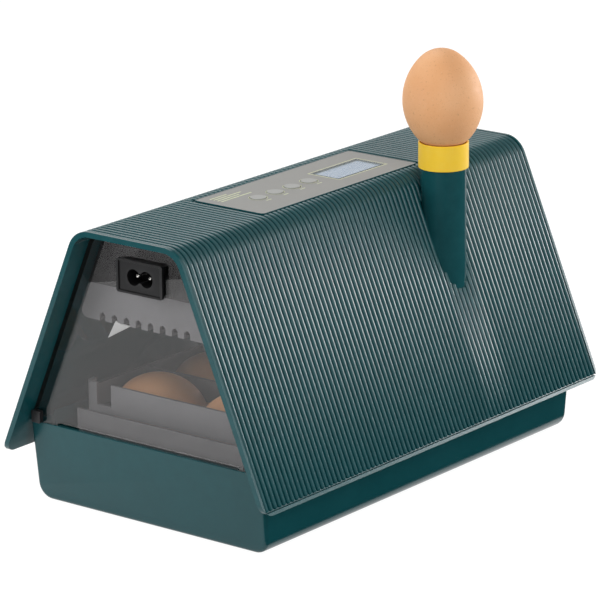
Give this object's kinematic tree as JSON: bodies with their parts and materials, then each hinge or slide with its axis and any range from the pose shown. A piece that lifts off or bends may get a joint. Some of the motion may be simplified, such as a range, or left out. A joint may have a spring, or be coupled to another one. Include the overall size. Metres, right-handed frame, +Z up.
{
  "type": "egg incubator",
  "caption": "Small house-shaped egg incubator: ribbed roof cover with end windows, base tub, turning egg tray, fan, control panel and a lit egg candler on the slope.",
  "frame": {"origin": "under the middle of the feet, on the surface that the incubator stands on", "axes": "+X along the ridge, with the mains inlet at the -X end; -Y out of the slope that carries the candler; +Z up"},
  "size_m": [0.304, 0.1832, 0.2321],
  "materials": {
    "green_plastic": "satin moulded",
    "smoke_window": "smoked gloss",
    "screw_steel": "zinc plated",
    "black_plastic": "satin",
    "grey_plastic": "satin",
    "white_plastic": "satin",
    "heater_metal": "satin",
    "pin_metal": "plated",
    "board": "solder mask",
    "display_blue": "backlit",
    "clear_window": "clear gloss",
    "label_grey": "satin film",
    "button_grey": "satin",
    "yellow_ring": "satin silicone",
    "foot_rubber": "matte",
    "eggshell": "matte shell"
  },
  "bodies": {
    "root": {"base_tub": "green_plastic", "feet": "foot_rubber", "water_tray": "white_plastic", "egg_floor": "grey_plastic", "motor_bracket": "heater_metal", "turner_motor": "heater_metal", "motor_screws": "screw_steel"},
    "tray": {"egg_tray": "grey_plastic"},
    "crank": {"turner_crank": "white_plastic"},
    "lid": {"ribbed_cover": "green_plastic", "window_hood": "smoke_window", "cover_screws": "screw_steel", "corner_pads": "black_plastic", "control_housing": "black_plastic", "fan_cover": "grey_plastic", "housing_screws": "screw_steel", "fan_frame": "black_plastic", "fan_screws": "screw_steel", "heater": "heater_metal", "temperature_sensor": "pin_metal", "sensor_clip": "white_plastic", "power_inlet": "black_plastic", "inlet_pins": "pin_metal", "control_board": "board", "power_board": "board", "display_panel": "display_blue", "display_window": "clear_window", "control_label": "label_grey", "candler_tube": "green_plastic", "candler_light": "board", "candler_lens": "clear_window", "candler_ring": "yellow_ring"},
    "impeller": {"fan_impeller": "black_plastic"},
    "egg_on_candler": {"candled_egg": "eggshell"},
    "eggs_row_1": {"eggs_row_1": "eggshell"},
    "eggs_row_2": {"eggs_row_2": "eggshell"},
    "eggs_row_3": {"eggs_row_3": "eggshell"},
    "eggs_row_4": {"eggs_row_4": "eggshell"},
    "eggs_row_5": {"eggs_row_5": "eggshell"},
    "button_1": {"button_1": "button_grey"},
    "button_2": {"button_2": "button_grey"},
    "button_3": {"button_3": "button_grey"},
    "button_4": {"button_4": "button_grey"}
  },
  "joints": [
    {"name": "tray_slide", "type": "slide", "parent": "root", "child": "tray", "axis": [1, 0, 0], "range_m": [-0.01, 0.01]},
    {"name": "crank_turn", "type": "hinge", "parent": "root", "child": "crank", "pos_m": [0, 0.0576, 0.03], "axis": [0, 1, 0], "range_deg": [-61, 61]},
    {"name": "lid_lift", "type": "slide", "parent": "root", "child": "lid", "axis": [0, 0, 1], "range_m": [0, 0.16]},
    {"name": "fan_spin", "type": "hinge", "parent": "lid", "child": "impeller", "pos_m": [-0.042, 0, 0.115], "axis": [0, 0, 1], "continuous": true},
    {"name": "candled_egg_lift", "type": "slide", "parent": "lid", "child": "egg_on_candler", "axis": [0, 0, 1], "range_m": [0, 0.06]},
    {"name": "egg_roll_1", "type": "hinge", "parent": "tray", "child": "eggs_row_1", "pos_m": [-0.096, 0, 0.0493], "axis": [0, 1, 0], "range_deg": [-27, 27]},
    {"name": "egg_roll_2", "type": "hinge", "parent": "tray", "child": "eggs_row_2", "pos_m": [-0.048, 0, 0.0493], "axis": [0, 1, 0], "range_deg": [-27, 27]},
    {"name": "egg_roll_3", "type": "hinge", "parent": "tray", "child": "eggs_row_3", "pos_m": [0, 0, 0.0493], "axis": [0, 1, 0], "range_deg": [-27, 27]},
    {"name": "egg_roll_4", "type": "hinge", "parent": "tray", "child": "eggs_row_4", "pos_m": [0.048, 0, 0.0493], "axis": [0, 1, 0], "range_deg": [-27, 27]},
    {"name": "egg_roll_5", "type": "hinge", "parent": "tray", "child": "eggs_row_5", "pos_m": [0.096, 0, 0.0493], "axis": [0, 1, 0], "range_deg": [-27, 27]},
    {"name": "button_1_press", "type": "slide", "parent": "lid", "child": "button_1", "axis": [0, 0, -1], "range_m": [0, 0.0005], "stiffness_N_per_m": 800},
    {"name": "button_2_press", "type": "slide", "parent": "lid", "child": "button_2", "axis": [0, 0, -1], "range_m": [0, 0.0005], "stiffness_N_per_m": 800},
    {"name": "button_3_press", "type": "slide", "parent": "lid", "child": "button_3", "axis": [0, 0, -1], "range_m": [0, 0.0005], "stiffness_N_per_m": 800},
    {"name": "button_4_press", "type": "slide", "parent": "lid", "child": "button_4", "axis": [0, 0, -1], "range_m": [0, 0.0005], "stiffness_N_per_m": 800}
  ],
  "couplings": [
    {"joint": "crank_turn", "follows": "tray_slide", "rad_per_m": 104.72},
    {"joint": "egg_roll_1", "follows": "tray_slide", "rad_per_m": 44.944},
    {"joint": "egg_roll_2", "follows": "tray_slide", "rad_per_m": 44.944},
    {"joint": "egg_roll_3", "follows": "tray_slide", "rad_per_m": 44.944},
    {"joint": "egg_roll_4", "follows": "tray_slide", "rad_per_m": 44.944},
    {"joint": "egg_roll_5", "follows": "tray_slide", "rad_per_m": 44.944}
  ]
}
